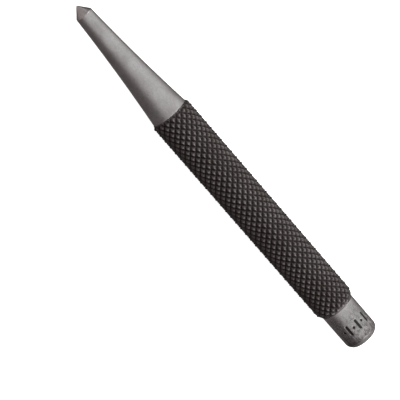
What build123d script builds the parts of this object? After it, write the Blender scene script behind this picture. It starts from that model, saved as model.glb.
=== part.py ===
from build123d import *
from math import cos, radians, sin, tan
import os

# Center punch, turned from one steel bar, lying on its knurled grip.
# Units are millimetres. +X runs from the point to the struck end and +Z is up.
# The origin is on the surface that the punch lies on, under the middle of its length.
# The bar is one piece of steel. Here it is split where one zone of the punch ends and the next begins:
# the ground point, the tapered shank, the knurled grip, the head and the struck end.
# The five solids meet face to face and never move against each other.

overall_length = 100.0

point_angle = 80.0  # included angle of the ground cone, degrees
point_base_radius = 2.05
point_nose_radius = 0.12  # small round that is left on the apex

grip_start = 31.1  # stations are measured from the apex, along the punch
grip_end = 90.1
grip_radius = 5.0  # over the crests of the knurl
grip_rear_chamfer = 1.3  # length along the punch

shank_end_radius = 4.45
shank_hollow = 0.24  # dip of the shank's outline under a straight taper, at its middle

head_radius = 4.15
end_chamfer = 1.1  # length along the punch
struck_face_radius = 3.3

# Worked out from the sizes above
half_angle = radians(point_angle / 2)
nose_tangent = (point_nose_radius * (1 - sin(half_angle)), point_nose_radius * cos(half_angle))
point_length = nose_tangent[0] + (point_base_radius - nose_tangent[1]) / tan(half_angle)
grip_front_chamfer = grip_radius - shank_end_radius  # cut at 45 degrees
struck_end_start = overall_length - end_chamfer

# Each outline is drawn as (station, radius) in this plane, then turned about the bar's axis
outline_plane = Plane(origin=(-overall_length / 2, 0, grip_radius), x_dir=(1, 0, 0), z_dir=(0, -1, 0))
bar_axis = Axis(origin=(0, 0, grip_radius), direction=(1, 0, 0))

os.makedirs("parts", exist_ok=True)

# Point: the hardened cone, ground after turning
with BuildPart() as point:
    with BuildSketch(outline_plane):
        with BuildLine():
            TangentArc((0, 0), nose_tangent, tangent=(0, 1))
            Polyline(nose_tangent, (point_length, point_base_radius), (point_length, 0), (0, 0))
        make_face()
    revolve(axis=bar_axis)
point.part.label = "point"
export_step(point.part, "parts/point.step")

# Tapered shank: from the ground point up to the grip
shank_tip_corner = (point_length, point_base_radius)
shank_grip_corner = (grip_start, shank_end_radius)
with BuildPart() as tapered_shank:
    with BuildSketch(outline_plane):
        with BuildLine():
            SagittaArc(shank_tip_corner, shank_grip_corner, -shank_hollow)
            Polyline(shank_grip_corner, (grip_start, 0), (point_length, 0), shank_tip_corner)
        make_face()
    revolve(axis=bar_axis)
tapered_shank.part.label = "tapered_shank"
export_step(tapered_shank.part, "parts/tapered_shank.step")

# Knurled grip: the envelope over the knurl's crests, chamfered at both ends
with BuildPart() as knurled_grip:
    with BuildSketch(outline_plane):
        with BuildLine():
            Polyline(
                (grip_start, 0),
                (grip_start, shank_end_radius),
                (grip_start + grip_front_chamfer, grip_radius),
                (grip_end - grip_rear_chamfer, grip_radius),
                (grip_end, head_radius),
                (grip_end, 0),
                close=True,
            )
        make_face()
    revolve(axis=bar_axis)
knurled_grip.part.label = "knurled_grip"
export_step(knurled_grip.part, "parts/knurled_grip.step")

# Head: the plain turned land behind the grip
with BuildPart() as head:
    with BuildSketch(outline_plane):
        with BuildLine():
            Polyline(
                (grip_end, 0),
                (grip_end, head_radius),
                (struck_end_start, head_radius),
                (struck_end_start, 0),
                close=True,
            )
        make_face()
    revolve(axis=bar_axis)
head.part.label = "head"
export_step(head.part, "parts/head.step")

# Struck end: the chamfered rim and the flat face that the hammer meets
with BuildPart() as struck_end:
    with BuildSketch(outline_plane):
        with BuildLine():
            Polyline(
                (struck_end_start, 0),
                (struck_end_start, head_radius),
                (overall_length, struck_face_radius),
                (overall_length, 0),
                close=True,
            )
        make_face()
    revolve(axis=bar_axis)
struck_end.part.label = "struck_end"
export_step(struck_end.part, "parts/struck_end.step")
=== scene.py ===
import math

import bpy
import numpy as np
from mathutils import Matrix, Vector


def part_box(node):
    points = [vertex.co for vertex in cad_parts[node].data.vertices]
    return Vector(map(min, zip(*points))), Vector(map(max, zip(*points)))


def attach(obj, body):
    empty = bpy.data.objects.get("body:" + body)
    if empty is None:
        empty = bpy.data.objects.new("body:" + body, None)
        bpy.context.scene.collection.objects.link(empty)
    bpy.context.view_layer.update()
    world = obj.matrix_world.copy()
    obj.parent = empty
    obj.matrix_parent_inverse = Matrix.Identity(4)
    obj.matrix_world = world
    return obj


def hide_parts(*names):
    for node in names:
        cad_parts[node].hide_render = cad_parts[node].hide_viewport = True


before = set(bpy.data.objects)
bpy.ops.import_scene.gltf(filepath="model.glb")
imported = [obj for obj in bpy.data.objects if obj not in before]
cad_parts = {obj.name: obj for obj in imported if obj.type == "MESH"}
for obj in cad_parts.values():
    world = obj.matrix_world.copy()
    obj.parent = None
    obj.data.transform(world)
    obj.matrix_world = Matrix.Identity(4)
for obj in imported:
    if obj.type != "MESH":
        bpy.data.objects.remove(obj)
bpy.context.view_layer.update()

# A center punch turned from one steel bar, lying along X with its point towards -X.
# Every zone of the bar is a lathe-built mesh: rings of points set out by station and radius.
# Sizes are in millimetres here and become metres when a mesh is made.
MM = 0.001

# ---- Driving sizes, read from the CAD frame ----


def span(node):
    """First station, last station and largest radius of a CAD node, in millimetres."""
    low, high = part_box(node)
    return low.x / MM, high.x / MM, (high.z - low.z) / 2 / MM


apex, point_end, point_base_radius = span("point")
shank_start, shank_end, shank_end_radius = span("tapered_shank")
grip_start, grip_end, grip_radius = span("knurled_grip")
head_start, head_end, head_radius = span("head")
_, face_end, _ = span("struck_end")
axis_height = grip_radius

# ---- Sizes that only the looks need ----

shank_hollow = 0.24  # dip of the shank's outline under a straight taper
grip_rear_chamfer = 1.3
struck_face_radius = 3.3
nose_radius = 0.12  # of the blunted tip
nose_flat = 0.55 * nose_radius
nose_length = 0.7 * nose_radius
nose_shoulder = 0.6  # share of nose_radius where the blunt meets the cone
hub_radius = 0.02  # innermost ring of an end that closes on the axis
head_corner_round = 1.6  # where the land turns into the end chamfer
face_corner_round = 0.8
border_gap = 0.01  # keeps the outline's own points off the border between the land and the struck end

knurl_starts = 17  # grooves of each hand around the grip
diamond_length = 1.745  # along the grip
cells_per_diamond = 12  # mesh cells along each diagonal of a diamond
knurl_depth = 0.46
crest_share = 0.12  # share of a diamond's half width that is left blunt at its crest
groove_unevenness = 0.08  # share of the depth
knurl_run_in = 0.5
knurl_run_out = 1.1

unevenness_cell = 9  # mesh points across one bump of the unevenness

smooth_segments = 144  # around the pieces with no fine relief
head_segments = 400
shank_rings = 110
corner_points = 7  # along a round corner

stamp_depth = 0.13
stamp_edge = 0.14  # width of a stamped mark's sloping side
stamp_station = 95.2 + apex  # middle of the row of marks
stamp_width = 0.6
bar_length = 2.2
dot_length = 0.1
stamp_places = range(-3, 4)  # bars at the even places, dots between them
stamp_spacing = 18  # degrees around the head
stamp_middle = -2  # degrees from straight up

dents = 22  # hammer marks on the struck face
dent_depth = 0.05
dent_radii = (0.25, 0.8)  # smallest and largest
dent_run_in = 0.3  # plain length between the land and the first full dent

random_numbers = np.random.default_rng(7)


# ---- Lathe-built meshes ----

side_share = 0.92  # of a piece's unwrap; its two hidden end faces share the rest
end_share = (1 - side_share) / 2.2  # radius of an end face in the unwrap
end_places = (0.1, 0.3)  # where the two end faces lie along the unwrap


def rounded(corners, step):
    """A smooth outline through corners given as (station, radius, corner round), sampled every step."""
    points = []
    for index, (station, radius, corner_round) in enumerate(corners):
        corner = np.array([station, radius], float)
        if corner_round == 0 or index in (0, len(corners) - 1):
            points.append(corner)
            continue
        before = np.array(corners[index - 1][:2], float) - corner
        after = np.array(corners[index + 1][:2], float) - corner
        before_unit = before / np.linalg.norm(before)
        after_unit = after / np.linalg.norm(after)
        half_corner = math.acos(np.clip(before_unit @ after_unit, -1, 1)) / 2
        reach = corner_round / math.tan(half_corner)
        for share in np.linspace(0, 1, corner_points):
            start = corner + before_unit * reach
            end = corner + after_unit * reach
            points.append((1 - share) ** 2 * start + 2 * share * (1 - share) * corner + share**2 * end)
    sampled = [points[0]]
    for start, end in zip(points, points[1:]):
        pieces = max(1, math.ceil(np.linalg.norm(end - start) / step))
        for piece in range(1, pieces + 1):
            sampled.append(start + (end - start) * piece / pieces)
    return np.array(sampled)


def turns(segments):
    """The angle of each segment around the bar, from straight up."""
    return np.arange(segments) * 2 * math.pi / segments


def side_faces(radii, along):
    """Triangles between the rings of a lathe piece, and the unwrap of their corners."""
    rings, segments = radii.shape
    # The four corners of each cell, as (ring, segment) steps
    ring, segment = np.meshgrid(np.arange(rings - 1), np.arange(segments), indexing="ij")
    ring = ring[..., None] + np.array([0, 0, 1, 1])
    segment = segment[..., None] + np.array([0, 1, 0, 1])
    corner = ring * segments + segment % segments
    corner_unwrap = np.stack([along[ring], segment / segments * side_share], -1)

    # Each cell is split along its lower diagonal, so that grooves stay sharp and unbroken
    rising = radii[:-1] + np.roll(radii[1:], -1, axis=1)
    falling = np.roll(radii[:-1], -1, axis=1) + radii[1:]
    order = np.where((rising <= falling)[..., None], [0, 3, 1, 0, 2, 3], [0, 2, 1, 1, 2, 3])
    faces = np.take_along_axis(corner, order, axis=2).reshape(-1, 3)
    unwrap = np.take_along_axis(corner_unwrap, order[..., None], axis=2).reshape(-1, 2)
    return faces, unwrap


def end_faces(rings, segments):
    """The two fans that close a lathe piece, each around a hub point, and the unwrap of their corners."""
    start = np.arange(segments)
    after = (start + 1) % segments
    last = (rings - 1) * segments
    hub = np.full(segments, rings * segments)
    first_fan = np.stack([start, after, hub], -1)
    last_fan = np.stack([last + after, last + start, hub + 1], -1)
    rim = np.stack([np.cos(turns(segments)), np.sin(turns(segments))], -1) * end_share
    centre = np.zeros_like(rim)
    height = (1 + side_share) / 2
    first_unwrap = np.stack([rim, rim[after], centre], 1).reshape(-1, 2) + [end_places[0], height]
    last_unwrap = np.stack([rim[after], rim, centre], 1).reshape(-1, 2) + [end_places[1], height]
    return np.concatenate([first_fan, last_fan]), np.concatenate([first_unwrap, last_unwrap])


def lathe(name, stations, radii, **point_values):
    """A closed solid of revolution about the bar's axis, with a clean unwrap of its own.

    radii holds one row per ring and one column per segment; stations has the same rows.
    Each keyword is stored as a point attribute that the materials read.
    """
    rings, segments = radii.shape
    across = radii * np.sin(turns(segments))
    up = axis_height + radii * np.cos(turns(segments))
    points = np.stack([np.broadcast_to(stations, radii.shape), across, up], axis=-1)
    hubs = [[stations[end].mean(), 0, axis_height] for end in (0, -1)]
    vertices = np.concatenate([points.reshape(-1, 3), hubs]) * MM
    outline_length = np.linalg.norm(np.diff(points[:, 0], axis=0), axis=1).cumsum()
    along = np.concatenate([[0], outline_length]) / outline_length[-1]
    side, side_unwrap = side_faces(radii, along)
    ends, end_unwrap = end_faces(rings, segments)

    mesh = bpy.data.meshes.new(name)
    mesh.from_pydata(vertices.tolist(), [], np.concatenate([side, ends]).tolist())
    unwrap = mesh.uv_layers.new(name="OFBake")
    unwrap.data.foreach_set("uv", np.concatenate([side_unwrap, end_unwrap]).astype(np.float32).reshape(-1))
    mesh.update()
    for value_name, values in point_values.items():
        attribute = mesh.attributes.new(value_name, "FLOAT", "POINT")
        hub_values = [0.0, 0.0]
        flat = np.concatenate([np.broadcast_to(values, radii.shape).reshape(-1), hub_values])
        attribute.data.foreach_set("value", flat.astype(np.float32))
    mesh.polygons.foreach_set("use_smooth", np.ones(len(mesh.polygons), bool))
    piece = bpy.data.objects.new(name, mesh)
    bpy.context.scene.collection.objects.link(piece)
    return piece


def turned(name, outline, wear):
    """A lathe piece with a round section everywhere."""
    radii = np.repeat(outline[:, [1]], smooth_segments, axis=1)
    return lathe(name, outline[:, [0]], radii, wear=wear[:, None])


def nearness(values, place, width):
    """1 at place, falling smoothly to 0 over width."""
    return np.clip(1 - np.abs(values - place) / width, 0, 1) ** 2


# ---- The zones of the bar ----


def make_point():
    slope = (point_base_radius - nose_radius) / (point_end - apex)
    corners = [
        (apex, hub_radius, 0),
        (apex, nose_flat, 0.03),
        (apex + nose_length, nose_radius * (nose_shoulder + slope), 0.05),
        (point_end, point_base_radius, 0),
    ]
    outline = rounded(corners, step=0.06)
    return turned("ground_point", outline, wear=nearness(outline[:, 0], apex, 0.3))


def make_shank():
    stations = np.linspace(shank_start, shank_end, shank_rings)
    share = (stations - shank_start) / (shank_end - shank_start)
    radii = point_base_radius + (shank_end_radius - point_base_radius) * share
    radii -= 4 * shank_hollow * share * (1 - share)
    outline = np.stack([stations, radii], -1)
    return turned("satin_shank", outline, wear=0.15 * nearness(stations, shank_start, 0.35))


def diamond_knurl(stations):
    """Height of the knurl from 0 in the grooves to 1 on the crests, for every station and segment."""
    along = (stations[:, None] - grip_start) / diamond_length
    turn = np.arange(knurl_starts * cells_per_diamond)[None, :] / cells_per_diamond
    heights = []
    for hand in (1, -1):
        phase = along + hand * turn
        from_groove = 2 * np.abs(phase - np.round(phase))
        heights.append(np.minimum(from_groove / (1 - crest_share), 1))
    return np.minimum(*heights)


def make_grip():
    stations = np.append(np.arange(grip_start, grip_end, diamond_length / cells_per_diamond), grip_end)
    relief = diamond_knurl(stations)
    front_chamfer = shank_end_radius + (stations - grip_start)
    rear_chamfer = head_radius + (grip_end - stations) * (grip_radius - head_radius) / grip_rear_chamfer
    envelope = np.minimum(np.minimum(front_chamfer, rear_chamfer), grip_radius)
    run_in = np.clip((stations - grip_start) / knurl_run_in, 0, 1)
    run_out = np.clip((grip_end - stations) / knurl_run_out, 0, 1)
    depth = knurl_depth * np.minimum(run_in, run_out)[:, None]
    unevenness = np.abs(smooth_noise(relief.shape, unevenness_cell)) * groove_unevenness
    radii = envelope[:, None] - depth * (1 - relief + unevenness)
    bare = 1 - depth / knurl_depth
    return lathe("diamond_knurl", stations[:, None], radii, relief=relief, bare=bare)


def smooth_noise(shape, cell):
    """Seeded noise between -1 and 1 that repeats around the bar, with features about cell points wide."""
    rows = shape[0] // cell + 2
    columns = shape[1] // cell
    grid = random_numbers.uniform(-1, 1, (rows, columns))
    row = np.linspace(0, rows - 1.001, shape[0])
    column = np.arange(shape[1]) * columns / shape[1]
    row_index, column_index = row.astype(int), column.astype(int)
    row_share = (row - row_index)[:, None]
    column_share = (column - column_index)[None, :]

    def along_row(index):
        first = grid[index][:, column_index]
        second = grid[index][:, (column_index + 1) % columns]
        return first * (1 - column_share) + second * column_share

    return along_row(row_index) * (1 - row_share) + along_row(row_index + 1) * row_share


def end_outline():
    """Outline of the land and the struck end, which share one round corner."""
    corners = [
        (head_start, head_radius, 0),
        (head_end, head_radius, head_corner_round),
        (face_end, struck_face_radius, face_corner_round),
        (face_end, hub_radius, 0),
    ]
    return rounded(corners, step=0.08)


def border_radius():
    """Radius of the rounded outline where the land ends and the struck end begins."""
    outline = end_outline()
    return float(np.interp(head_end, outline[:, 0], outline[:, 1]))


def stamp_relief(stations, segments):
    """Depth share, 0 to 1, of a row of stamped bars and dots that runs around the head."""
    arc = turns(segments) * head_radius
    whole_turn = 2 * math.pi * head_radius
    depth = np.zeros((len(stations), segments))
    for place in stamp_places:
        length = bar_length if place % 2 == 0 else dot_length
        middle = math.radians(stamp_middle + stamp_spacing * place) * head_radius
        across = np.abs((arc - middle + whole_turn / 2) % whole_turn - whole_turn / 2)[None, :]
        beyond = np.maximum(np.abs(stations - stamp_station) - length / 2, 0)[:, None]
        outside = np.hypot(across, beyond) - stamp_width / 2
        depth = np.maximum(depth, np.clip(0.5 - outside / stamp_edge, 0, 1))
    return depth


def make_head():
    outline = end_outline()
    outline = outline[outline[:, 0] < head_end - border_gap]
    outline = np.vstack([outline, [head_end, border_radius()]])
    stations = outline[:, 0]
    stamped = stamp_relief(stations, head_segments)
    radii = outline[:, [1]] - stamp_depth * stamped
    # The brighter band by the land's start is a painted highlight, standing in for the light the neck
    # catches next to the grip.
    wear = 0.45 * nearness(stations, head_start, 3.0)[:, None]
    # Stamped marks are painted near black. The darkening towards the head's end is painted shade that damps
    # the highlight on its rounded corner.
    grime = np.maximum(stamped, 0.7 * nearness(stations, head_end, 1.8)[:, None])
    soil = np.interp(stations, [head_start, head_end], [0.2, 0.9])[:, None]
    return lathe("turned_head", stations[:, None], radii, wear=wear, grime=grime, soil=soil)


def hammer_marks(radii):
    """Depth of shallow random dents over the struck face, for every point of its rings."""
    angles = turns(radii.shape[1])
    across, up = radii * np.sin(angles), radii * np.cos(angles)
    depth = np.zeros(radii.shape)
    for _ in range(dents):
        reach = struck_face_radius * math.sqrt(random_numbers.uniform(0, 1.05))
        turn = random_numbers.uniform(0, 2 * math.pi)
        radius = random_numbers.uniform(*dent_radii)
        distance = np.hypot(across - reach * math.sin(turn), up - reach * math.cos(turn)) / radius
        deepest = dent_depth * random_numbers.uniform(0.3, 1)
        depth = np.maximum(depth, deepest * np.clip(1 - distance**2, 0, 1))
    return depth


def make_struck_end():
    outline = end_outline()
    outline = outline[outline[:, 0] > head_end + border_gap]
    outline = np.vstack([[head_end, border_radius()], outline])
    radii = np.repeat(outline[:, [1]], smooth_segments, axis=1)
    bruised = hammer_marks(radii) * np.clip((outline[:, [0]] - head_end) / dent_run_in, 0, 1)
    rubbed = nearness(outline[:, 1], struck_face_radius, 0.5)[:, None]
    wear = np.minimum(rubbed + 6 * bruised, 1)
    ring_run = np.concatenate([[0], np.linalg.norm(np.diff(outline, axis=0), axis=1).cumsum()])[:, None]
    return lathe("struck_face", outline[:, [0]] - bruised, radii, wear=wear, ring_run=ring_run)


# ---- Materials ----


# A Mix node's sockets when it mixes colours
MIX_FACTOR, MIX_FIRST, MIX_SECOND, MIX_RESULT = 0, 6, 7, 2


class Nodes:
    """Adds shader nodes to a material or a world and links them, one call per node."""

    def __init__(self, owner, shader="Principled BSDF"):
        owner.use_nodes = True
        self.owner = owner
        self.tree = owner.node_tree
        self.surface = self.tree.nodes[shader]

    def add(self, kind, settings=None, **sockets):
        node = self.tree.nodes.new(kind)
        for key, value in (settings or {}).items():
            setattr(node, key, value)
        for key, value in sockets.items():
            self.set(node, key.replace("_", " "), value)
        return node

    def set(self, node, socket, value):
        target = node.inputs[socket]
        if isinstance(value, bpy.types.NodeSocket):
            self.tree.links.new(value, target)
        else:
            target.default_value = value

    def noise(self, per_mm, detail=2.0, roughness=0.5):
        """Noise with that many features per millimetre along X, Y and Z."""
        place = self.add("ShaderNodeTexCoord").outputs["Object"]
        scale = tuple(count / MM for count in per_mm)
        moved = self.add("ShaderNodeMapping", Vector=place, Scale=scale).outputs["Vector"]
        texture = self.add("ShaderNodeTexNoise", Vector=moved, Scale=1.0, Detail=detail, Roughness=roughness)
        return texture.outputs["Fac"]

    def attribute(self, name):
        return self.add("ShaderNodeAttribute", {"attribute_name": name}).outputs["Fac"]

    def ramp(self, factor, low, high, to_low, to_high, ease="LINEAR"):
        """factor from low to high, carried to the range to_low to to_high."""
        node = self.add("ShaderNodeMapRange", {"interpolation_type": ease}, Value=factor)
        node.inputs["From Min"].default_value = low
        node.inputs["From Max"].default_value = high
        node.inputs["To Min"].default_value = to_low
        node.inputs["To Max"].default_value = to_high
        return node.outputs["Result"]

    def math(self, operation, first, second):
        node = self.add("ShaderNodeMath", {"operation": operation})
        self.set(node, 0, first)
        self.set(node, 1, second)
        return node.outputs["Value"]

    def mix(self, factor, low, high):
        """A colour between low and high."""
        node = self.add("ShaderNodeMix", {"data_type": "RGBA"})
        self.set(node, MIX_FACTOR, factor)
        for socket, value in ((MIX_FIRST, low), (MIX_SECOND, high)):
            self.set(node, socket, value if isinstance(value, bpy.types.NodeSocket) else (*value, 1))
        return node.outputs[MIX_RESULT]

    def bump(self, height, strength, depth, below=None):
        """A bump normal for height, whose full range stands depth millimetres high."""
        node = self.add("ShaderNodeBump", Height=height, Strength=strength, Distance=depth * MM)
        if below is not None:
            self.set(node, "Normal", below)
        return node.outputs["Normal"]


def satin_steel(name, shade=1.0, roughness=0.36):
    """Blasted steel: fine grain over faint turning rings, soft blotches, and where the mesh asks for them
    mottled dirt, wear, a painted highlight, near-black stamped marks and painted shade.
    """
    nodes = Nodes(bpy.data.materials.new(name))
    dull = tuple(shade * part for part in (0.375, 0.36, 0.358))
    clean = tuple(shade * part for part in (0.47, 0.46, 0.46))
    pitted = tuple(0.5 * part for part in dull)
    soiled = (0.12, 0.107, 0.103)
    polished = (0.6, 0.59, 0.58)
    stamp_and_shade_black = (0.03, 0.028, 0.028)

    blotch = nodes.noise((0.22, 0.3, 0.3), detail=3.0)
    mottle = nodes.noise((1.1, 1.6, 1.6), detail=4.0, roughness=0.65)
    grain = nodes.noise((4.0, 4.0, 4.0), detail=4.0, roughness=0.7)
    turning = nodes.noise((7.0, 0.02, 0.02), detail=2.0)

    tone = nodes.mix(nodes.ramp(blotch, 0.35, 0.65, 0, 1), dull, clean)
    speckled = nodes.mix(nodes.ramp(grain, 0.35, 0.65, 0.4, 0), tone, pitted)
    soil_amount = nodes.math("ADD", nodes.attribute("soil"), 0.12)
    soil = nodes.math("MULTIPLY", nodes.ramp(mottle, 0.44, 0.62, 0, 1), soil_amount)
    mottled = nodes.mix(soil, speckled, soiled)
    # Rubbed wear brightens the steel. On the head, by the land's start, this brightening is a painted
    # highlight.
    rubbed = nodes.math("MULTIPLY", nodes.attribute("wear"), nodes.ramp(mottle, 0.35, 0.6, 0.2, 1))
    bright = nodes.mix(rubbed, mottled, polished)
    # Near-black stamped marks, and painted shade towards the head's end.
    nodes.set(nodes.surface, "Base Color", nodes.mix(nodes.attribute("grime"), bright, stamp_and_shade_black))
    nodes.set(nodes.surface, "Metallic", 1.0)

    fine = nodes.ramp(grain, 0.3, 0.7, -0.05, 0.05)
    broad = nodes.ramp(blotch, 0.3, 0.7, 0.03, -0.03)
    worn = nodes.ramp(rubbed, 0, 1, roughness, roughness - 0.1)
    nodes.set(nodes.surface, "Roughness", nodes.math("ADD", nodes.math("ADD", fine, broad), worn))
    ringed = nodes.bump(turning, 0.3, 0.012)
    nodes.set(nodes.surface, "Normal", nodes.bump(grain, 0.35, 0.012, below=ringed))
    return nodes.owner


def ground_steel(name):
    """Bare ground steel: fine circular grinding scratches."""
    nodes = Nodes(bpy.data.materials.new(name))
    dull = (0.34, 0.325, 0.32)
    clean = (0.43, 0.42, 0.415)
    scratched = (0.2, 0.19, 0.19)
    polished = (0.5, 0.49, 0.48)

    scratches = nodes.noise((16.0, 0.5, 0.5), detail=4.0, roughness=0.7)
    blotch = nodes.noise((0.9, 0.9, 0.9), detail=2.0)
    tone = nodes.mix(nodes.ramp(blotch, 0.35, 0.65, 0, 1), dull, clean)
    lined = nodes.mix(nodes.ramp(scratches, 0.35, 0.7, 0, 0.5), tone, scratched)
    nodes.set(nodes.surface, "Base Color", nodes.mix(nodes.attribute("wear"), lined, polished))
    nodes.set(nodes.surface, "Metallic", 1.0)
    nodes.set(nodes.surface, "Roughness", nodes.ramp(scratches, 0.3, 0.7, 0.27, 0.4))
    nodes.set(nodes.surface, "Normal", nodes.bump(scratches, 0.5, 0.01))
    return nodes.owner


def struck_steel(name):
    """The softer end: facing rings left by the lathe, scuffed and brightened where the hammer lands."""
    nodes = Nodes(bpy.data.materials.new(name))
    dull = (0.13, 0.123, 0.12)
    clean = (0.19, 0.182, 0.178)
    dirty = (0.09, 0.08, 0.077)
    polished = (0.2, 0.193, 0.19)
    rings_per_mm = 5.5

    run = nodes.math("MULTIPLY", nodes.attribute("ring_run"), rings_per_mm)
    turning = nodes.add("ShaderNodeTexNoise", {"noise_dimensions": "1D"}, W=run, Scale=1.0, Detail=3.0)
    rings = turning.outputs["Fac"]
    grain = nodes.noise((6.0, 6.0, 6.0), detail=3.0, roughness=0.6)
    scuff = nodes.noise((0.9, 1.3, 1.3), detail=4.0, roughness=0.65)
    tone = nodes.mix(nodes.ramp(rings, 0.3, 0.7, 0, 1), dull, clean)
    scuffed = nodes.mix(nodes.ramp(scuff, 0.42, 0.66, 0, 0.55), tone, dirty)
    rubbed = nodes.math("MULTIPLY", nodes.attribute("wear"), nodes.ramp(grain, 0.3, 0.6, 0.3, 1))
    nodes.set(nodes.surface, "Base Color", nodes.mix(rubbed, scuffed, polished))
    nodes.set(nodes.surface, "Metallic", 1.0)
    nodes.set(nodes.surface, "Roughness", nodes.ramp(scuff, 0.3, 0.7, 0.5, 0.66))
    ringed = nodes.bump(rings, 0.7, 0.02)
    nodes.set(nodes.surface, "Normal", nodes.bump(grain, 0.4, 0.015, below=ringed))
    return nodes.owner


def knurled_steel(name):
    """Knurled steel: painted shade darkens the grooves, along with oil and oxide lodged there; crests rubbed
    brighter; plain at both ends.
    """
    nodes = Nodes(bpy.data.materials.new(name))
    dull = (0.084, 0.073, 0.071)
    clean = (0.109, 0.098, 0.096)
    groove_shade_and_oxide = (0.02, 0.016, 0.016)
    crest_rubbed = (0.185, 0.176, 0.175)

    relief = nodes.attribute("relief")
    grain = nodes.noise((7.0, 7.0, 7.0), detail=3.0, roughness=0.6)
    blotch = nodes.noise((0.16, 0.25, 0.25), detail=3.0)
    height = nodes.math("MAXIMUM", relief, nodes.attribute("bare"))
    ragged_height = nodes.math("ADD", height, nodes.ramp(grain, 0.3, 0.7, -0.12, 0.12))
    tone = nodes.mix(nodes.ramp(blotch, 0.35, 0.65, 0, 1), dull, clean)
    # Grooves painted near black: painted shade, together with oil and oxide lodged in them.
    dirty = nodes.mix(nodes.ramp(ragged_height, 0.0, 0.75, 0, 1), groove_shade_and_oxide, tone)
    uneven_relief = nodes.math("ADD", relief, nodes.ramp(blotch, 0.3, 0.7, -0.08, 0.08))
    crest = nodes.ramp(uneven_relief, 0.8, 1.0, 0, 1)
    nodes.set(nodes.surface, "Base Color", nodes.mix(crest, dirty, crest_rubbed))
    nodes.set(nodes.surface, "Metallic", 1.0)
    nodes.set(nodes.surface, "Roughness", nodes.ramp(height, 0.0, 1.0, 0.46, 0.24))
    nodes.set(nodes.surface, "Normal", nodes.bump(grain, 0.4, 0.015))
    return nodes.owner


# ---- The object ----

pieces = [
    (make_point(), "point", "ground_point_steel", ground_steel("ground_point_steel")),
    (make_shank(), "tapered_shank", "satin_shank_steel", satin_steel("satin_shank_steel", shade=1.04)),
    (make_grip(), "knurled_grip", "knurled_grip_steel", knurled_steel("knurled_grip_steel")),
    (make_head(), "head", "satin_head_steel", satin_steel("satin_head_steel", shade=0.9, roughness=0.25)),
    (make_struck_end(), "struck_end", "struck_end_steel", struck_steel("struck_end_steel")),
]
for piece, node, slot, material in pieces:
    piece.data.materials.append(material)
    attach(piece, "root")
    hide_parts(node)

# ---- Camera: the photograph's viewing angle, with the bar's middle off the picture's centre ----

camera_distance = 448.8
camera_tilt = math.radians(13.98)  # towards the point, from square on
camera_elevation = math.radians(75)  # about the bar's axis
bar_roll = math.radians(48.87)  # the bar runs this far below the picture's horizontal
bar_offset = (5.31, 5.29)  # of the bar's middle, to the right and up
focal_length = 182.5
sensor_width = 36.0

bar_direction = Vector((1, 0, 0))
square_on = Vector((0, -math.cos(camera_elevation), math.sin(camera_elevation)))
towards_camera = square_on * math.cos(camera_tilt) - bar_direction * math.sin(camera_tilt)
bar_in_picture = (bar_direction - towards_camera * bar_direction.dot(towards_camera)).normalized()
across_bar = towards_camera.cross(bar_in_picture)
picture_right = bar_in_picture * math.cos(bar_roll) + across_bar * math.sin(bar_roll)
picture_up = across_bar * math.cos(bar_roll) - bar_in_picture * math.sin(bar_roll)

bar_middle = Vector((0, 0, axis_height))
aim = bar_middle - picture_right * bar_offset[0] - picture_up * bar_offset[1]


def look(thing, place, right, up):
    """Puts thing at place with its own X along right and its own Y along up."""
    back = right.cross(up)
    turned_to = Matrix((right, up, back)).transposed().to_4x4()
    thing.matrix_world = Matrix.Translation(place * MM) @ turned_to


camera_data = bpy.data.cameras.new("camera")
camera_data.lens = focal_length
camera_data.sensor_width = sensor_width
camera_data.clip_start = 0.01
camera = bpy.data.objects.new("camera", camera_data)
bpy.context.scene.collection.objects.link(camera)
look(camera, aim + towards_camera * camera_distance, picture_right, picture_up)
bpy.context.scene.camera = camera


# ---- Floor, light and background ----


def towards(angle, lean):
    """A direction turned angle degrees about the bar, from the camera's side towards the picture's right,
    and leaning lean degrees towards the struck end."""
    turn = math.radians(angle)
    tip = math.radians(lean)
    side = square_on * math.cos(turn) + square_on.cross(bar_direction) * math.sin(turn)
    return side * math.cos(tip) + bar_direction * math.sin(tip)


key_direction = towards(41, 30)
fill_direction = towards(-70, -68)
side_direction = towards(35, 66)
top_direction = towards(70, -35)


def softbox(name, away, distance, width, length, power):
    """A soft rectangular light that faces the middle of the bar."""
    data = bpy.data.lights.new(name, "AREA")
    data.shape = "RECTANGLE"
    data.size = width * MM
    data.size_y = length * MM
    data.energy = power
    light = bpy.data.objects.new(name, data)
    light.visible_camera = False
    bpy.context.scene.collection.objects.link(light)
    along = (bar_direction - away * bar_direction.dot(away)).normalized()
    look(light, bar_middle + away * distance, along.cross(away), along)
    return light


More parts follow.
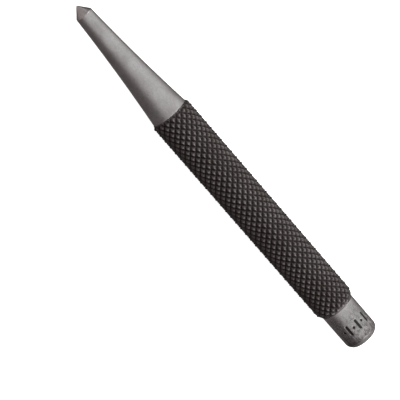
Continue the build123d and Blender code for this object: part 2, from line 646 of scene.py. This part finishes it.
softbox("key_light", key_direction, distance=600, width=300, length=300, power=0.05)
softbox("side_light", side_direction, distance=600, width=650, length=650, power=2.2)
softbox("top_light", top_direction, distance=600, width=400, length=400, power=1.0)


def make_floor():
    """A pale floor that glows a little, like a light table, and isn't mirrored in the steel."""
    bpy.ops.mesh.primitive_plane_add(size=6.0)
    floor = bpy.context.object
    floor.name = "floor"
    nodes = Nodes(bpy.data.materials.new("pale_floor"))
    nodes.set(nodes.surface, "Base Color", (0.85, 0.85, 0.85, 1))
    nodes.set(nodes.surface, "Roughness", 0.9)
    nodes.set(nodes.surface, "Emission Color", (1, 1, 1, 1))
    nodes.set(nodes.surface, "Emission Strength", 0.8)
    floor.data.materials.append(nodes.owner)
    floor.visible_glossy = False
    floor.visible_diffuse = False


make_floor()


def make_world():
    """White to the camera. The steel sees a broad soft key, a weaker fill past the point, and dim room."""
    world = bpy.data.worlds.new("studio")
    bpy.context.scene.world = world
    nodes = Nodes(world, "Background")
    direction = nodes.add("ShaderNodeTexCoord").outputs["Generated"]
    warm = (1, 0.88, 0.86)
    white = (1, 1, 1)

    def lobe(middle, dark_at, bright_at, lowest, highest):
        """Light that grows smoothly towards the middle direction, by the cosine of the angle to it."""
        facing = nodes.add("ShaderNodeVectorMath", {"operation": "DOT_PRODUCT"})
        nodes.set(facing, 0, direction)
        nodes.set(facing, 1, middle)
        return nodes.ramp(facing.outputs["Value"], dark_at, bright_at, lowest, highest, "SMOOTHSTEP")

    key = lobe(key_direction, dark_at=-0.2, bright_at=0.75, lowest=0.17, highest=0.95)
    fill = lobe(fill_direction, dark_at=0.5, bright_at=0.95, lowest=0.0, highest=0.5)
    seen = nodes.add("ShaderNodeLightPath").outputs["Is Camera Ray"]
    nodes.set(nodes.surface, "Strength", nodes.math("MAXIMUM", seen, nodes.math("ADD", key, fill)))
    nodes.set(nodes.surface, "Color", nodes.mix(nodes.math("MAXIMUM", seen, key), warm, white))


make_world()
bpy.context.scene.view_settings.view_transform = "Standard"
